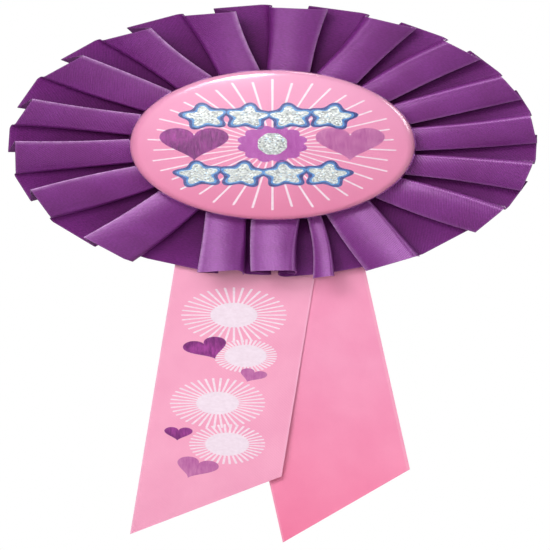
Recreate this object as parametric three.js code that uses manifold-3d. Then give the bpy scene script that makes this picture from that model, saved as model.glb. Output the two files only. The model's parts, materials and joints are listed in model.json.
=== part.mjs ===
// An award rosette: a pleated satin ruffle stapled to a card, a domed button in its middle,
// two ribbon tails that hang below it, and a locking bar pin on its back.
//
// Millimetres. +Z is up, +X is to the right of someone who looks at the front, and the front
// faces -Y. The origin is the middle of the pin's closed needle, which holds the rosette up.

import * as THREE from 'three';
import { mergeVertices } from 'three/addons/utils/BufferGeometryUtils.js';
import Module from 'manifold-3d';

const wasm = await Module();
wasm.setup();

// ---------------------------------------------------------------- driving dimensions

const ROUND_STEPS = 40; // sides of each large disc
const SMALL_STEPS = 16; // sides of each small round piece
const CURVE_STEPS = 8; // on each arc of an extruded outline
const GLUE_LINE = 0.05; // between layers that are stuck or stapled together
const HOLE_GAP = 0.2; // round a staple's leg in what it pierces

const ROSETTE_Z = -5.5; // the pin sits this far above the rosette's middle

// Bar pin, along X
const PLATE = { length: 27, width: 5, thick: 0.8, back: -2, cornerRadius: 1.2 };
const SEWING_HOLE = { radius: 0.8, at: [-5.5, 4.5] };
const HINGE_X = -11;
const EAR = { inside: 1.2, thick: 0.5, radius: 1.3, hole: 0.56 };
const RIVET = { shank: 0.46, head: 0.95, headThick: 0.3 };
const EYE = { outer: 1, hole: 0.56, halfHeight: 1.1 };
const NEEDLE = { radius: 0.4, coneFrom: 11, tip: 12.2 };
const HOUSING = { inner: 1.5, outer: 2.05, mouth: 1.7, from: 8.9, to: 12.1, neckWidth: 1.6 };
const SLEEVE = { inner: 0.75, outer: 1.35, flange: 1.8, slot: 1.1, ends: [8.1, 8.6, 12.5, 13.3] };
const THUMB_TAB = { halfWidth: 0.7, reach: 3.3 };
const PIN_PAD = { length: 26, width: 4.6, thick: 0.8 };

// Cards and staples
const BACK_CARD = { radius: 21, thick: 0.8 };
const ROSETTE_CARD = { radius: 20.5, thick: 1.2 };
const CARD_PAD = { radius: 16, below: 4.5 };
const WIRE = { thick: 0.45, width: 0.6, tipGap: 0.8 };
const TAIL_STAPLES = { crown: 6, x: [-4.2, 3.6], drop: 12.9 };
const RUFFLE_STAPLES = { crown: 5, radius: 18.5, every: 3, crownGap: 0.3 };
const LEG_HOLE_LENGTH = 30; // runs through every layer

// Tails: width, lean from the vertical, middle at the rosette's middle, and lowest point
const TAIL_THICK = 0.3;
const TAIL_TOP = -6.5; // from the rosette's middle
const FLEX_LINE = -43; // just below the ruffle's rim
const FLEX_GAP = 0.3;
const END_CUT = 41; // degrees between a tail's end and its straight-across line
const LEFT_TAIL = { width: 22, lean: -5, middle: -1, tip: -115.8 };
const RIGHT_TAIL = { width: 22.2, lean: 6.7, middle: -1.1, tip: -118.3 };

// Ruffle
const RIBBON_THICK = 0.3;
const INNER_RADIUS = 16;
const FOOT_RADIUS = 22; // where the pleats come out from under the button
const RIM_RADIUS = 41.3;
const RIM_PULL_IN = 1.2; // a front panel rises forwards, so its rim is nearer the middle
const DEPTH = { inner: 1.9, rim: 6.8, easing: 1.3 }; // from recess panels to front panels

// A front panel rises out of its recess at a soft fold and ends in a sharp one, where the
// ribbon turns back under it. Each fold's reach under the panel, and its radius.
const SOFT_FOLD = { under: 0.9, mostOfPanel: 0.15, radius: { inner: 0.3, rim: 1.2 } };
const SHARP_FOLD = { under: 3.6, mostOfPanel: 0.6, radius: { inner: 0.3, rim: 0.5 } };
const FOLD_STEPS = 3;
const FOLD_ROOM = 0.45; // the most of a stretch beside it that a fold's arc may take
const FOOT_GAP = 0.4; // degrees at each side of a pleat's foot
const RING_RADII = [INNER_RADIUS, FOOT_RADIUS, 28.5, 35, RIM_RADIUS];

// One row for each pleat, in degrees clockwise from the top: where its foot starts, and where
// its front panel starts and ends at the rim. A foot ends where the next one starts.
const PLEATS = [
  [-3.5, -1.5, 12.5], [17, 20, 33.5], [38, 40, 52.5], [57, 59, 71.5], [76.5, 76.5, 90],
  [97, 96.5, 110], [115.5, 116.5, 130], [136.5, 145.5, 158.5], [159.5, 164.5, 169],
  [166.5, 170.5, 184.5], [190, 186, 197.5], [209.5, 212, 227], [233.5, 236.5, 250.5],
  [254.5, 257, 271.5], [275.5, 277.5, 290], [295, 299, 312], [316.5, 318, 331.5],
  [336.5, 338.5, 352],
];

// Button
const BUTTON_DROP = 0.3; // its middle is this far below the rosette's
const BUTTON = { radius: 22.4, rimRadius: 2, height: 6.4 };
const RIM_STEPS = 6; // from the dome round to the back
const DOME_STEPS = 2;
const FILM = { inset: 0, thick: 0.18, flange: 18.6 };
const PAPER = { inset: 0.23, thick: 0.17, flange: 19 };
const SHELL = { inset: 0.45, thick: 0.35, rimSteps: 5 };
const BUTTON_PLATE = { radius: 20.4, above: 0.5, thick: 0.4 };
const BUTTON_PAD_RADIUS = 10.5;
const BUTTON_CLEARANCE = 0.25; // from the ruffle staples' crowns to the button

// ---------------------------------------------------------------- the stack, back to front

const pinPadBack = PLATE.back - PLATE.thick - GLUE_LINE;
const backCardBack = pinPadBack - PIN_PAD.thick - GLUE_LINE;
const tailCrownBack = backCardBack - BACK_CARD.thick - GLUE_LINE;
const rightTailBack = tailCrownBack - WIRE.thick - GLUE_LINE;
const leftTailBack = rightTailBack - TAIL_THICK - GLUE_LINE;
const ruffleClinchBack = leftTailBack - TAIL_THICK - GLUE_LINE;
const rosetteCardBack = ruffleClinchBack - WIRE.thick - GLUE_LINE;
const rosetteCardFront = rosetteCardBack - ROSETTE_CARD.thick;
const recessY = rosetteCardFront - GLUE_LINE - RIBBON_THICK / 2;
const ruffleFront = recessY - depthAt(RUFFLE_STAPLES.radius) - RIBBON_THICK / 2;
const ruffleCrownBack = ruffleFront - RUFFLE_STAPLES.crownGap;
const buttonBack = ruffleCrownBack - WIRE.thick - BUTTON_CLEARANCE;

// ---------------------------------------------------------------- helpers

const DEGREE = Math.PI / 180;
const rosette = new THREE.Group();

const FINISH = {
  purpleSatin: { color: 0x7d3788, roughness: 0.42, metalness: 0 },
  pinkSatin: { color: 0xf591b9, roughness: 0.5, metalness: 0 },
  paper: { color: 0xf79cc4, roughness: 0.6, metalness: 0 },
  film: { color: 0xf4f4fa, roughness: 0.08, metalness: 0, transparent: true, opacity: 0.3 },
  tinplate: { color: 0xb9bcc0, roughness: 0.35, metalness: 0.9 },
  nickel: { color: 0xc9c7c2, roughness: 0.25, metalness: 1 },
  card: { color: 0xefece4, roughness: 0.85, metalness: 0 },
  foam: { color: 0xf2f2ee, roughness: 0.9, metalness: 0 },
};

function addPart(name, geometry, finish) {
  const mesh = new THREE.Mesh(geometry, new THREE.MeshStandardMaterial(finish));
  mesh.name = name;
  rosette.add(mesh);
  return mesh;
}

function toSolid(geometry) {
  const plain = geometry.clone();
  plain.deleteAttribute('normal');
  plain.deleteAttribute('uv');
  const merged = mergeVertices(plain, 1e-5);
  const vertProperties = new Float32Array(merged.attributes.position.array);
  const triVerts = new Uint32Array(merged.index.array);
  return new wasm.Manifold(new wasm.Mesh({ numProp: 3, vertProperties, triVerts }));
}

function toGeometry(solid) {
  const mesh = solid.getMesh();
  const geometry = new THREE.BufferGeometry();
  geometry.setAttribute('position', new THREE.BufferAttribute(mesh.vertProperties, 3));
  geometry.setIndex(new THREE.BufferAttribute(mesh.triVerts, 1));
  geometry.computeVertexNormals();
  return geometry;
}

function join(geometries) {
  const solids = geometries.map(toSolid);
  return toGeometry(solids.reduce((sum, solid) => sum.add(solid)));
}

function cut(geometry, cutters) {
  const body = toSolid(geometry);
  return toGeometry(cutters.map(toSolid).reduce((rest, cutter) => rest.subtract(cutter), body));
}

// An outline in the rosette's plane, given as x and z, from its back face forwards
function layer(shape, back, thick) {
  const geometry = new THREE.ExtrudeGeometry(shape, extrusion(thick));
  return geometry.rotateX(Math.PI / 2).translate(0, back, 0);
}

// An outline given as y and z, along X
function alongX(shape, from, to) {
  const basis = new THREE.Matrix4();
  basis.makeBasis(
    new THREE.Vector3(0, 1, 0),
    new THREE.Vector3(0, 0, 1),
    new THREE.Vector3(1, 0, 0),
  );
  const geometry = new THREE.ExtrudeGeometry(shape, extrusion(to - from));
  return geometry.applyMatrix4(basis).translate(from, 0, 0);
}

// An outline given as x and y, along Z
function alongZ(shape, from, to) {
  return new THREE.ExtrudeGeometry(shape, extrusion(to - from)).translate(0, 0, from);
}

function extrusion(depth) {
  return { depth, bevelEnabled: false, steps: 1, curveSegments: CURVE_STEPS };
}

function disc(radius, back, thick, z) {
  const geometry = new THREE.CylinderGeometry(radius, radius, thick, ROUND_STEPS);
  return geometry.translate(0, back - thick / 2, z);
}

function polygon(points) {
  return new THREE.Shape(points.map(([x, y]) => new THREE.Vector2(x, y)));
}

function lathe(points, steps) {
  const profile = points.map(([radius, height]) => new THREE.Vector2(radius, height));
  return new THREE.LatheGeometry(profile, steps);
}

function mix(from, to, share) {
  return from + (to - from) * share;
}

// ---------------------------------------------------------------- staples

// A closed staple in its own x and y, with its crown at one y and its turned-in legs at another
function stapleGeometry(crown, crownY, clinchY) {
  const wire = Math.sign(clinchY - crownY) * WIRE.thick;
  const outside = crown / 2;
  const inside = outside - WIRE.thick;
  const tip = WIRE.tipGap / 2;
  const half = [
    [outside, crownY],
    [outside, clinchY],
    [tip, clinchY],
    [tip, clinchY - wire],
    [inside, clinchY - wire],
    [inside, crownY + wire],
  ];
  const otherHalf = half.map(([x, y]) => [-x, y]).reverse();
  return alongZ(polygon([...half, ...otherHalf]), -WIRE.width / 2, WIRE.width / 2);
}

// The two holes that a staple's legs need, from one y to another
function legHoles(crown) {
  const size = [WIRE.thick + 2 * HOLE_GAP, LEG_HOLE_LENGTH, WIRE.width + 2 * HOLE_GAP];
  const x = (crown - WIRE.thick) / 2;
  return [-x, x].map((side) => new THREE.BoxGeometry(...size).translate(side, 0, 0));
}

function tailStaplePlaces() {
  const z = ROSETTE_Z - TAIL_STAPLES.drop;
  return TAIL_STAPLES.x.map((x) => new THREE.Matrix4().makeTranslation(x, 0, z));
}

function ruffleStaplePlaces() {
  const places = [];
  for (let i = 0; i < PLEATS.length; i += RUFFLE_STAPLES.every) {
    const angle = DEGREE * (PLEATS[i][0] + footEnd(i)) / 2;
    const place = new THREE.Matrix4().makeTranslation(0, 0, ROSETTE_Z);
    place.multiply(new THREE.Matrix4().makeRotationY(angle));
    place.multiply(new THREE.Matrix4().makeTranslation(0, 0, RUFFLE_STAPLES.radius));
    places.push(place);
  }
  return places;
}

function holesAt(places, crown) {
  return places.flatMap((place) => legHoles(crown).map((hole) => hole.applyMatrix4(place)));
}

function addStaples(name, places, geometry) {
  places.forEach((place, i) => {
    const staple = addPart(`${name}_${i + 1}`, geometry.clone(), FINISH.tinplate);
    place.decompose(staple.position, staple.quaternion, staple.scale);
  });
}

// ---------------------------------------------------------------- ruffle

function footEnd(i) {
  return i + 1 < PLEATS.length ? PLEATS[i + 1][0] : PLEATS[0][0] + 360;
}

function depthAt(radius) {
  const share = (radius - INNER_RADIUS) / (RIM_RADIUS - INNER_RADIUS);
  return mix(DEPTH.inner, DEPTH.rim, share ** DEPTH.easing);
}

// Both edges of a front panel at one radius, in mm round the ring. Each fold is a straight line
// from the foot to the rim.
function panelEdges(i, radius) {
  const [footStart, rimStart, rimEnd] = PLEATS[i];
  const out = (radius - FOOT_RADIUS) / (RIM_RADIUS - FOOT_RADIUS);
  const share = Math.max(0, (out * RIM_RADIUS) / radius);
  const start = mix(footStart + FOOT_GAP, rimStart, share);
  const end = mix(footEnd(i) - FOOT_GAP, rimEnd, share);
  return [start * DEGREE * radius, end * DEGREE * radius];
}

// Points round a fold at corner b of the path a, b, c, each with the ribbon's side direction
function fold(a, b, c, foldRadius) {
  const before = new THREE.Vector2().subVectors(a, b);
  const after = new THREE.Vector2().subVectors(c, b);
  const room = FOLD_ROOM * Math.min(before.length(), after.length());
  before.normalize();
  after.normalize();
  const halfAngle = Math.acos(THREE.MathUtils.clamp(before.dot(after), -1, 1)) / 2;
  const radius = Math.min(foldRadius, room * Math.tan(halfAngle));
  const inward = new THREE.Vector2().addVectors(before, after).normalize();
  const centre = b.clone().addScaledVector(inward, radius / Math.sin(halfAngle));
  const turn = Math.PI - 2 * halfAngle;
  const bend = Math.sign(before.cross(after));
  const middle = Math.atan2(-inward.y, -inward.x);
  const points = [];
  for (let k = 0; k < FOLD_STEPS; k++) {
    const angle = middle - bend * turn * (k / (FOLD_STEPS - 1) - 0.5);
    const outward = new THREE.Vector2(Math.cos(angle), Math.sin(angle));
    const at = centre.clone().addScaledVector(outward, radius);
    points.push({ at, side: outward.multiplyScalar(-bend) });
  }
  return points;
}

// The ribbon's path round one ring: mm round the ring against depth in front of the recesses
function ringPath(radius) {
  const share = (radius - INNER_RADIUS) / (RIM_RADIUS - INNER_RADIUS);
  const front = depthAt(radius);
  const corners = PLEATS.flatMap((_, i) => {
    const [start, end] = panelEdges(i, radius);
    const softUnder = Math.min(SOFT_FOLD.under, SOFT_FOLD.mostOfPanel * (end - start));
    const sharpUnder = Math.min(SHARP_FOLD.under, SHARP_FOLD.mostOfPanel * (end - start));
    return [
      { at: new THREE.Vector2(start + softUnder, 0), bend: SOFT_FOLD.radius },
      { at: new THREE.Vector2(start, front), bend: SOFT_FOLD.radius },
      { at: new THREE.Vector2(end, front), bend: SHARP_FOLD.radius },
      { at: new THREE.Vector2(end - sharpUnder, 0), bend: SHARP_FOLD.radius },
    ];
  });
  const whole = new THREE.Vector2(2 * Math.PI * radius, 0);
  const first = corners[0].at.clone().add(whole);
  const last = corners[corners.length - 1].at.clone().sub(whole);
  return corners.flatMap(({ at, bend }, i) => {
    const before = i > 0 ? corners[i - 1].at : last;
    const after = i + 1 < corners.length ? corners[i + 1].at : first;
    return fold(before, at, after, mix(bend.inner, bend.rim, share));
  });
}

function ringPoints(radius, offset) {
  const outShare = (radius - INNER_RADIUS) / (RIM_RADIUS - INNER_RADIUS);
  return ringPath(radius).map(({ at, side }) => {
    const place = at.clone().addScaledVector(side, offset);
    const angle = place.x / radius;
    const out = radius - (RIM_PULL_IN * outShare * place.y) / DEPTH.rim;
    return [out * Math.sin(angle), recessY - place.y, ROSETTE_Z + out * Math.cos(angle)];
  });
}

// The folded ribbon as one closed body: its two faces, joined along both selvedges
function ruffleGeometry() {
  const faces = [-RIBBON_THICK / 2, RIBBON_THICK / 2];
  const loops = [
    ...RING_RADII.map((radius) => ringPoints(radius, faces[0])),
    ...RING_RADII.map((radius) => ringPoints(radius, faces[1])).reverse(),
  ];
  const count = loops[0].length;
  const index = [];
  for (let ring = 0; ring < loops.length; ring++) {
    const nextRing = (ring + 1) % loops.length;
    for (let i = 0; i < count; i++) {
      const a = ring * count + i;
      const b = ring * count + (i + 1) % count;
      const c = nextRing * count + (i + 1) % count;
      const d = nextRing * count + i;
      index.push(a, b, c, a, c, d);
    }
  }
  const geometry = new THREE.BufferGeometry();
  geometry.setAttribute('position', new THREE.Float32BufferAttribute(loops.flat(2), 3));
  geometry.setIndex(index);
  return geometry;
}

// ---------------------------------------------------------------- tails

// A tail's outline between two heights measured from the rosette's middle. Its lower end is cut
// across level, or slantwise up to the right from its tip where to is left out.
function tailShape(tail, from, to) {
  const lean = tail.lean * DEGREE;
  const half = tail.width / 2 / Math.cos(lean);
  const x = (z, side) => tail.middle - z * Math.tan(lean) + side * half;
  const slope = Math.tan(END_CUT * DEGREE + lean);
  const rightEnd = tail.tip + (slope * 2 * half) / (1 + slope * Math.tan(lean));
  const low = to ?? tail.tip;
  const right = to ?? rightEnd;
  const outline = [
    [x(from, -1), from],
    [x(low, -1), low],
    [x(right, 1), right],
    [x(from, 1), from],
  ];
  return polygon(outline.map(([across, up]) => [across, up + ROSETTE_Z]));
}

function addTail(name, tail, back, finish) {
  const top = layer(tailShape(tail, TAIL_TOP, FLEX_LINE + FLEX_GAP / 2), back, TAIL_THICK);
  const holes = holesAt(tailStaplePlaces(), TAIL_STAPLES.crown);
  addPart(`${name}_top`, cut(top, holes), finish);
  addPart(name, layer(tailShape(tail, FLEX_LINE - FLEX_GAP / 2), back, TAIL_THICK), finish);
}

// ---------------------------------------------------------------- button

// One face of a dished layer of the button, from its middle to the back of its rim
function buttonFace(inset, rimSteps) {
  const { radius, rimRadius, height } = BUTTON;
  const rimCentre = radius - rimRadius;
  const rise = height - rimRadius;
  const domeRadius = (rimCentre ** 2 + rise ** 2 - rimRadius ** 2) / (2 * (rise - rimRadius));
  const meet = Math.asin(rimCentre / (domeRadius - rimRadius));
  const points = [];
  for (let k = 0; k < DOME_STEPS; k++) {
    const angle = (meet * k) / DOME_STEPS;
    const out = domeRadius - inset;
    points.push([out * Math.sin(angle), height - domeRadius + out * Math.cos(angle)]);
  }
  for (let k = 0; k <= rimSteps; k++) {
    const angle = mix(meet, Math.PI, k / RIM_STEPS);
    const out = rimRadius - inset;
    points.push([rimCentre + out * Math.sin(angle), rimRadius + out * Math.cos(angle)]);
  }
  return points;
}

function buttonLayer({ inset, thick, flange, rimSteps = RIM_STEPS }) {
  const outer = buttonFace(inset, rimSteps);
  const inner = buttonFace(inset + thick, rimSteps);
  if (flange) {
    outer.push([flange, inset]);
    inner.push([flange, inset + thick]);
  }
  const profile = [...outer, ...inner.reverse()];
  const world = profile.map(([radius, forward]) => [radius, buttonBack - forward]);
  return lathe(world, ROUND_STEPS).translate(0, 0, ROSETTE_Z - BUTTON_DROP);
}

function addButton() {
  const z = ROSETTE_Z - BUTTON_DROP;
  const plateBack = buttonBack - BUTTON_PLATE.above;
  const padBack = rosetteCardFront - GLUE_LINE;
  const padThick = padBack - plateBack - GLUE_LINE;
  addPart('button_cover_film', buttonLayer(FILM), FINISH.film);
  addPart('button_print_disc', buttonLayer(PAPER), FINISH.paper);
  addPart('button_shell', buttonLayer(SHELL), FINISH.tinplate);
  const plate = disc(BUTTON_PLATE.radius, plateBack, BUTTON_PLATE.thick, z);
  addPart('button_back_plate', plate, FINISH.tinplate);
  addPart('button_foam_pad', disc(BUTTON_PAD_RADIUS, padBack, padThick, z), FINISH.foam);
}

// ---------------------------------------------------------------- cards

function cardPadGeometry() {
  const drop = Math.asin(CARD_PAD.below / CARD_PAD.radius);
  const shape = new THREE.Shape();
  shape.absarc(0, ROSETTE_Z, CARD_PAD.radius, -drop, Math.PI + drop, false);
  shape.closePath();
  const thick = tailCrownBack - leftTailBack + TAIL_THICK;
  return layer(shape, tailCrownBack, thick);
}

function addCards() {
  const backCard = disc(BACK_CARD.radius, backCardBack, BACK_CARD.thick, ROSETTE_Z);
  addPart('back_card', backCard, FINISH.card);
  addPart('card_adhesive_pad', cardPadGeometry(), FINISH.foam);
  const card = disc(ROSETTE_CARD.radius, rosetteCardBack, ROSETTE_CARD.thick, ROSETTE_Z);
  const holes = [
    ...holesAt(tailStaplePlaces(), TAIL_STAPLES.crown),
    ...holesAt(ruffleStaplePlaces(), RUFFLE_STAPLES.crown),
  ];
  addPart('rosette_card', cut(card, holes), FINISH.card);
}

// ---------------------------------------------------------------- bar pin

function roundedBar(length, width, cornerRadius) {
  const x = length / 2 - cornerRadius;
  const z = width / 2 - cornerRadius;
  const shape = new THREE.Shape();
  shape.absarc(x, z, cornerRadius, 0, Math.PI / 2, false);
  shape.absarc(-x, z, cornerRadius, Math.PI / 2, Math.PI, false);
  shape.absarc(-x, -z, cornerRadius, Math.PI, 1.5 * Math.PI, false);
  shape.absarc(x, -z, cornerRadius, 1.5 * Math.PI, 2 * Math.PI, false);
  return shape;
}

// A ring in y and z round the needle, with a slot that opens towards +Y
function openRing(inner, outer, slot) {
  const outerHalf = Math.asin(slot / 2 / outer);
  const innerHalf = Math.asin(slot / 2 / inner);
  const shape = new THREE.Shape();
  shape.absarc(0, 0, outer, outerHalf, 2 * Math.PI - outerHalf, false);
  shape.absarc(0, 0, inner, 2 * Math.PI - innerHalf, innerHalf, true);
  return shape;
}

function earGeometry(side) {
  const { inside, thick, radius, hole } = EAR;
  const shape = new THREE.Shape();
  shape.moveTo(HINGE_X - radius, PLATE.back - PLATE.thick / 2);
  shape.lineTo(HINGE_X + radius, PLATE.back - PLATE.thick / 2);
  shape.absarc(HINGE_X, 0, radius, 0, Math.PI, false);
  shape.holes.push(new THREE.Path().absarc(HINGE_X, 0, hole, 0, 2 * Math.PI, true));
  const near = side > 0 ? inside : -inside - thick;
  return alongZ(shape, near, near + thick);
}

function barGeometry() {
  const plate = roundedBar(PLATE.length, PLATE.width, PLATE.cornerRadius);
  for (const x of SEWING_HOLE.at) {
    plate.holes.push(new THREE.Path().absarc(x, 0, SEWING_HOLE.radius, 0, 2 * Math.PI, true));
  }
  const low = PLATE.back - PLATE.thick / 2;
  const high = -(HOUSING.inner + HOUSING.outer) / 2;
  const side = HOUSING.neckWidth / 2;
  const neck = polygon([[low, -side], [high, -side], [high, side], [low, side]]);
  return join([
    layer(plate, PLATE.back, PLATE.thick),
    earGeometry(1),
    earGeometry(-1),
    alongX(openRing(HOUSING.inner, HOUSING.outer, HOUSING.mouth), HOUSING.from, HOUSING.to),
    alongX(neck, HOUSING.from, HOUSING.to),
  ]);
}

function rivetGeometry() {
  const ear = EAR.inside + EAR.thick + GLUE_LINE;
  const end = ear + RIVET.headThick;
  const half = [[0, end], [RIVET.head, end], [RIVET.head, ear], [RIVET.shank, ear]];
  const otherHalf = half.map(([radius, height]) => [radius, -height]).reverse();
  const profile = [...half, ...otherHalf].reverse();
  return lathe(profile, SMALL_STEPS).rotateX(Math.PI / 2).translate(HINGE_X, 0, 0);
}

function needleGeometry() {
  const { outer, hole, halfHeight } = EYE;
  const eyeProfile = [
    [hole, halfHeight], [hole, -halfHeight], [outer, -halfHeight], [outer, halfHeight],
    [hole, halfHeight],
  ];
  const eye = lathe(eyeProfile, SMALL_STEPS).rotateX(Math.PI / 2).translate(HINGE_X, 0, 0);
  const start = HINGE_X + (hole + outer) / 2;
  const wireProfile = [
    [0, start], [NEEDLE.radius, start], [NEEDLE.radius, NEEDLE.coneFrom], [0, NEEDLE.tip],
  ];
  const wire = lathe(wireProfile, SMALL_STEPS).rotateZ(-Math.PI / 2);
  return join([eye, wire]);
}

function catchGeometry() {
  const { inner, outer, flange, slot, ends } = SLEEVE;
  const { halfWidth, reach } = THUMB_TAB;
  const tab = new THREE.Shape();
  tab.moveTo(-halfWidth, outer);
  tab.lineTo(halfWidth, outer);
  tab.absarc(0, reach, halfWidth, 0, Math.PI, false);
  return join([
    alongX(openRing(inner, flange, slot), ends[0], ends[1]),
    alongX(openRing(inner, outer, slot), ends[1], ends[2]),
    alongX(openRing(inner, flange, slot), ends[2], ends[3]),
    alongX(tab, ends[2], ends[3]),
  ]);
}

function addPin() {
  const pad = roundedBar(PIN_PAD.length, PIN_PAD.width, PLATE.cornerRadius);
  addPart('pin_adhesive_pad', layer(pad, pinPadBack, PIN_PAD.thick), FINISH.foam);
  addPart('pin_bar', barGeometry(), FINISH.nickel);
  addPart('pin_hinge_rivet', rivetGeometry(), FINISH.nickel);
  addPart('pin_needle', needleGeometry(), FINISH.nickel);
  addPart('pin_catch', catchGeometry(), FINISH.nickel);
}

// ---------------------------------------------------------------- assembly

addButton();

const ruffleHoles = holesAt(ruffleStaplePlaces(), RUFFLE_STAPLES.crown);
addPart('pleated_ruffle', cut(ruffleGeometry(), ruffleHoles), FINISH.purpleSatin);

const ruffleStaple = stapleGeometry(
  RUFFLE_STAPLES.crown,
  ruffleCrownBack - WIRE.thick,
  ruffleClinchBack,
);
addStaples('ruffle_staple', ruffleStaplePlaces(), ruffleStaple);

addCards();
addTail('left_tail', LEFT_TAIL, leftTailBack, FINISH.pinkSatin);
addTail('right_tail', RIGHT_TAIL, rightTailBack, FINISH.pinkSatin);

const tailClinch = rosetteCardFront - GLUE_LINE - WIRE.thick;
const tailStaple = stapleGeometry(TAIL_STAPLES.crown, tailCrownBack, tailClinch);
addStaples('tail_staple', tailStaplePlaces(), tailStaple);

addPin();

export default rosette;
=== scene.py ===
"""An award rosette: a pleated purple satin ruffle, a domed pink button, two pink ribbon tails and,
on the back, a card with a locking bar pin.

Lengths are in millimetres in the functions that build shapes, and become metres as each mesh is
made. The frame has +Z up and +X to the right of someone who looks at the front, which faces -Y.
"""

import json
import math

import bpy
import numpy as np
from mathutils import Matrix, Vector, noise


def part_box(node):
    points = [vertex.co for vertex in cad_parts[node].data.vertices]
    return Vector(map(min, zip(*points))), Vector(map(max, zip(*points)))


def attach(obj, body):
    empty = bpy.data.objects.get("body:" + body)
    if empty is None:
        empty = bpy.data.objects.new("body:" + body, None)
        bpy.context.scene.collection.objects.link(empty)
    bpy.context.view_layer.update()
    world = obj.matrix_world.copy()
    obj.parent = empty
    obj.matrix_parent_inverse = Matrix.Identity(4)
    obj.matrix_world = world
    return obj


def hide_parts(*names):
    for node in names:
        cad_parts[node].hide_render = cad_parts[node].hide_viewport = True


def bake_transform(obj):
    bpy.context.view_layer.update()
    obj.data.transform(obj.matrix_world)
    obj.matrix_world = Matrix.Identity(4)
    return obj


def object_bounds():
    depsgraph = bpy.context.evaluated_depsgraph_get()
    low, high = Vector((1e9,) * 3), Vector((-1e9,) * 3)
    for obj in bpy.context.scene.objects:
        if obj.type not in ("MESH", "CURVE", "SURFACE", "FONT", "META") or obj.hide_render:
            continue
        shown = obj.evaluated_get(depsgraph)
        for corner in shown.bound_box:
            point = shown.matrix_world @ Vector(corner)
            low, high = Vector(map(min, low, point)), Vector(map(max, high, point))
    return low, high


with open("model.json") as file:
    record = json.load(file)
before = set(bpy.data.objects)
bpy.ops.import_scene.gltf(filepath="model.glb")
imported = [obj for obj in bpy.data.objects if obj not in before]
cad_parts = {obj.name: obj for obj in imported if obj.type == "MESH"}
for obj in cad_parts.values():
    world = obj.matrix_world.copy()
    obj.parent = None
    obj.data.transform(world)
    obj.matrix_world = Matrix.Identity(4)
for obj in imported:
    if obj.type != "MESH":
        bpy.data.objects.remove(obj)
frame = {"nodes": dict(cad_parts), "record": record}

cad_low, cad_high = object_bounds()
MM = 0.001
DEGREE = math.pi / 180

# ---- places taken from the frame


def box_mm(node):
    """A CAD node's lowest and highest corners, in millimetres."""
    return [np.array(corner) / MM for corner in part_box(node)]


def middle_y(node):
    box = box_mm(node)
    return (box[0][1] + box[1][1]) / 2


RUFFLE_BOX = box_mm("pleated_ruffle")
CARD_BOX = box_mm("rosette_card")
FILM_BOX = box_mm("button_cover_film")
ROSETTE_Z = (CARD_BOX[0][2] + CARD_BOX[1][2]) / 2
BUTTON_Z = (FILM_BOX[0][2] + FILM_BOX[1][2]) / 2
BUTTON_BACK = FILM_BOX[1][1]

# ---- driving dimensions

# Ruffle, as in the CAD model
CAD_RIBBON_THICK = 0.3
RECESS_Y = RUFFLE_BOX[1][1] - CAD_RIBBON_THICK / 2
INNER_RADIUS = 16
FOOT_RADIUS = 22  # where the pleats come out from under the button
RIM_RADIUS = 41.3
DEPTH = {"inner": 1.9, "rim": 6.8, "easing": 1.3}  # from recess panels to front panels
FOOT_GAP = 0.4  # degrees at each side of a pleat's foot

# Folds: how far each is tucked under its panel, in millimetres and at most as a share of the
# panel's width; its radius at the inner edge and at the rim; how much that radius grows as the
# fold opens; and the most it may be, as a share of the panel's width
SOFT_FOLD = {"under": 0.9, "share": 0.15, "inner": 0.3, "rim": 1.3, "open": 0.25, "most": 0.18}
SHARP_FOLD = {"under": 3.6, "share": 0.6, "inner": 0.2, "rim": 0.22, "open": 0.6}
FOLD_ROOM = 0.45  # the most of a stretch beside it that a fold's arc may take
RIBBON_WIDTH = 25.4

# One row for each pleat. In degrees clockwise from the top: where its foot starts, and where its
# front panel starts and ends at the rim. A foot ends where the next one starts. In millimetres at
# the rim: how far the panel's soft and its sharp side stand forward, how far the soft side is
# tucked back under it, and how far its soft and its sharp side would be drawn in at full depth.
PLEATS = [
    (-3.5, -1.5, 12.5, 5.4, 3.4, 1.5, 1.4, 1.4),
    (17, 20, 33.5, 6.2, 2.4, 1.5, 1.2, 1.2),
    (38, 40, 52.5, 6.4, 2.6, 1.5, 1.0, 1.0),
    (57, 59, 71.5, 6.4, 2.4, 1.5, 0.5, 0.5),
    (76.5, 76.5, 90, 6.8, 1.6, 1.6, 0.4, 0.4),
    (97, 96.5, 110, 6.8, 2.2, 1.6, 0.4, 0.4),
    (115.5, 116.5, 130, 6.8, 2.4, 1.6, 0.5, 0.5),
    (136.5, 145, 159, 6.4, 4.6, 1.2, 1.4, 1.4),
    (159.5, 166, 171, 5.4, 4.4, 1.2, 1.3, 1.3),
    (166.5, 171.3, 185.2, 6.8, 6.0, 7.2, 3.9, 4.0),
    (190, 186.3, 197.3, 5.2, 5.6, 0.8, 4.6, 2.0),
    (209.5, 212, 227, 3.6, 6.2, 0.0, 0.0, 0.9),
    (233.5, 237.5, 250.5, 2.6, 6.6, 0.0, 1.3, 1.3),
    (254.5, 257.5, 271.5, 2.0, 6.4, 0.0, 1.3, 1.3),
    (275.5, 278, 290, 3.0, 6.2, 0.0, 1.8, 1.8),
    (295, 299, 312, 2.1, 6.6, 0.0, 2.0, 2.0),
    (316.5, 318.8, 331.5, 2.3, 6.6, 0.4, 2.2, 2.2),
    (336.5, 339.3, 352, 3.0, 6.2, 1.0, 1.8, 1.8),
]
SHARP_HEIGHT, SOFT_DRAWN_IN, SHARP_DRAWN_IN = 4, 6, 7  # places in a row of PLEATS
CORNERS = 4  # of the ribbon's path at each pleat, two at its soft side and two at its sharp one
# Millimetres that a recess is drawn in at the rim, by the number of the pleat before it
RECESS_DRAWN_IN = {6: 1.1, 7: 2.0, 8: 1.9, 9: 2.5, 10: 2.0}

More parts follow.
